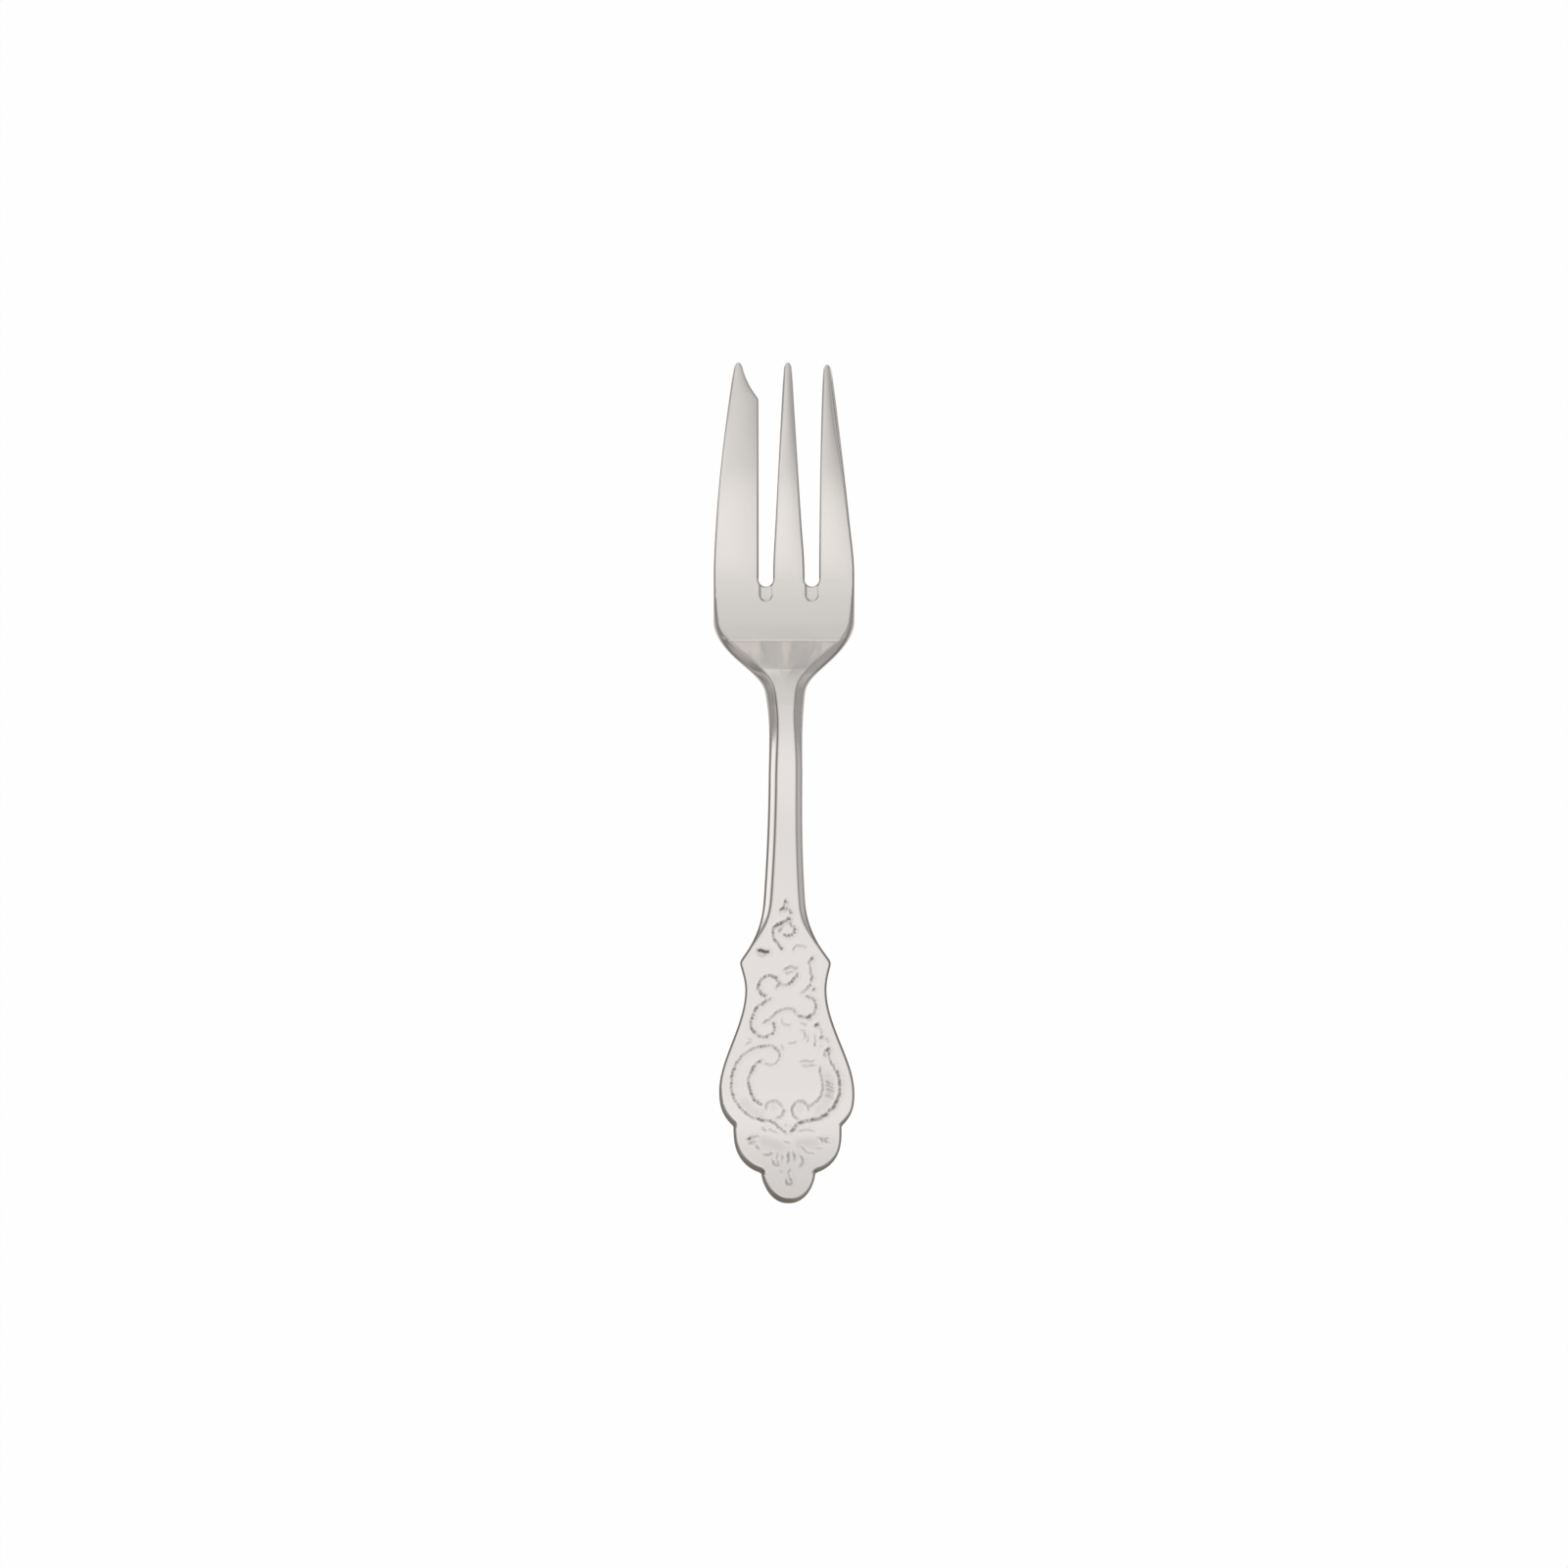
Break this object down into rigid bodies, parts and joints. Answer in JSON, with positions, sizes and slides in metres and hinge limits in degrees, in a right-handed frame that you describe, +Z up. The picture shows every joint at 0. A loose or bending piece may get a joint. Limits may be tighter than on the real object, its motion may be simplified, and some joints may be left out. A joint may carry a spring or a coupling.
{
  "type": "pastry fork",
  "caption": "Polished silver pastry fork with a broad cutting tine, slim straight tines, a bevelled stem and a lobed handle chased with scrollwork.",
  "frame": {"origin": "on the table, under the middle of the fork's length and width", "axes": "+Y along the fork towards the tine tips, +Z up from the table out of the hollow face, +X to the right of someone who looks down with the tips away from them"},
  "size_m": [0.026, 0.155, 0.0099],
  "materials": {
    "polished_silver": "polished silver plate with fine wear scratches",
    "chased_silver": "polished silver plate, chased lines darkened by tarnish"
  },
  "bodies": {
    "root": {"cutting_tine": "polished_silver", "middle_tine": "polished_silver", "outer_tine": "polished_silver", "head": "polished_silver", "stem": "chased_silver", "handle": "chased_silver"}
  },
  "joints": []
}
